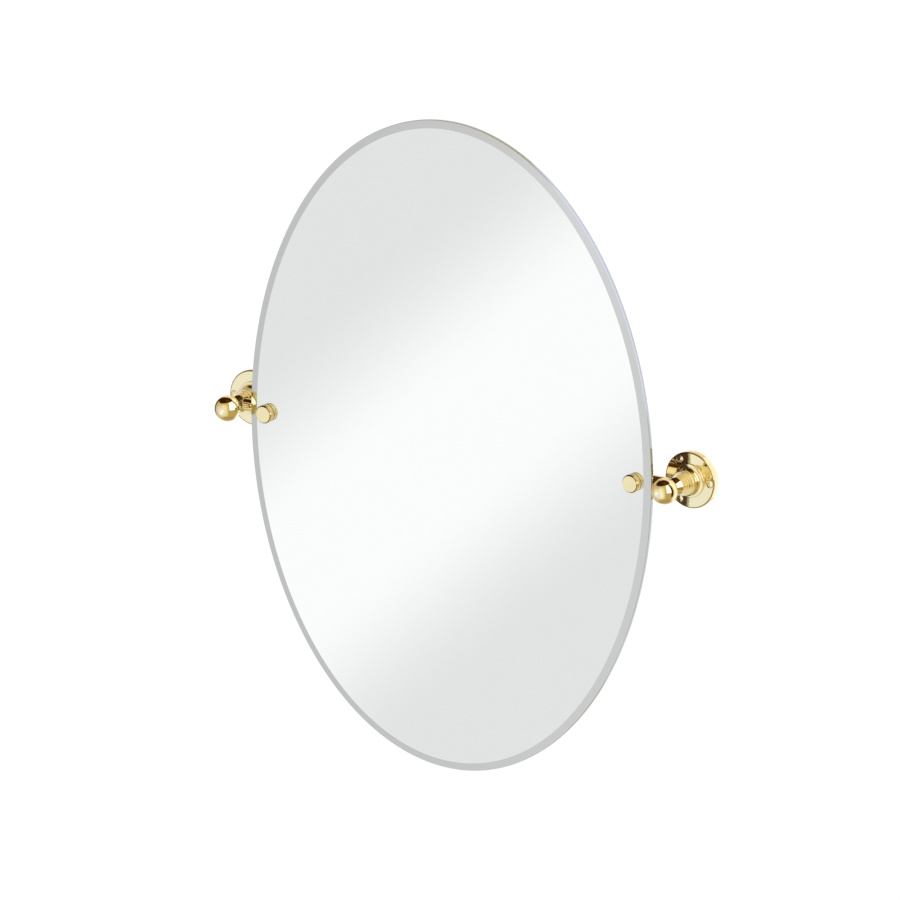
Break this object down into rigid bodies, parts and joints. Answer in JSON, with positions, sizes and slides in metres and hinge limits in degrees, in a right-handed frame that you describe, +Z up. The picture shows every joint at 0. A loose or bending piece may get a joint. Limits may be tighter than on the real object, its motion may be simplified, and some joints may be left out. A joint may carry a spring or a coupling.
{
  "type": "oval pivot wall mirror",
  "caption": "Frameless oval mirror with a bevelled edge, clamped at mid height to turned brass wall brackets, on which it tilts about a level axis.",
  "frame": {"origin": "on the wall, midway between the two brackets, level with the tilt axis", "axes": "+X to the right as seen from the front, +Y into the wall, +Z up"},
  "size_m": [0.606, 0.0769, 0.7],
  "materials": {
    "polished_brass": "polished and lacquered",
    "steel": "plain zinc-plated steel",
    "mirror_glass": "clear polished glass, silvered behind, with a bevelled edge",
    "back_paint": "dark brown protective paint over the silver",
    "rubber": "matt black",
    "white_nylon": "satin",
    "clear_plastic": "clear and glossy"
  },
  "bodies": {
    "brackets": {"wall_flange_left": "polished_brass", "wall_screw_1_left": "polished_brass", "wall_screw_2_left": "polished_brass", "wall_screw_3_left": "polished_brass", "post_left": "polished_brass", "post_screw_left": "steel", "post_grub_screw_left": "steel", "finial_ball_left": "polished_brass", "finial_stud_left": "steel", "friction_pad_left": "white_nylon", "wall_flange_right": "polished_brass", "wall_screw_1_right": "polished_brass", "wall_screw_2_right": "polished_brass", "wall_screw_3_right": "polished_brass", "post_right": "polished_brass", "post_screw_right": "steel", "post_grub_screw_right": "steel", "finial_ball_right": "polished_brass", "finial_stud_right": "steel", "friction_pad_right": "white_nylon"},
    "mirror": {"mirror_glass": "mirror_glass", "silver_backing": "back_paint", "arm_left": "polished_brass", "thrust_washer_left": "white_nylon", "clamp_plate_left": "polished_brass", "rear_washer_left": "rubber", "glass_sleeve_left": "clear_plastic", "front_washer_left": "clear_plastic", "clamp_stud_left": "steel", "clamp_knob_left": "polished_brass", "arm_right": "polished_brass", "thrust_washer_right": "white_nylon", "clamp_plate_right": "polished_brass", "rear_washer_right": "rubber", "glass_sleeve_right": "clear_plastic", "front_washer_right": "clear_plastic", "clamp_stud_right": "steel", "clamp_knob_right": "polished_brass"}
  },
  "joints": [
    {"name": "mirror_tilt", "type": "hinge", "parent": "brackets", "child": "mirror", "pos_m": [0, -0.0315, 0], "axis": [1, 0, 0], "range_deg": [-6.5, 6.5]}
  ]
}
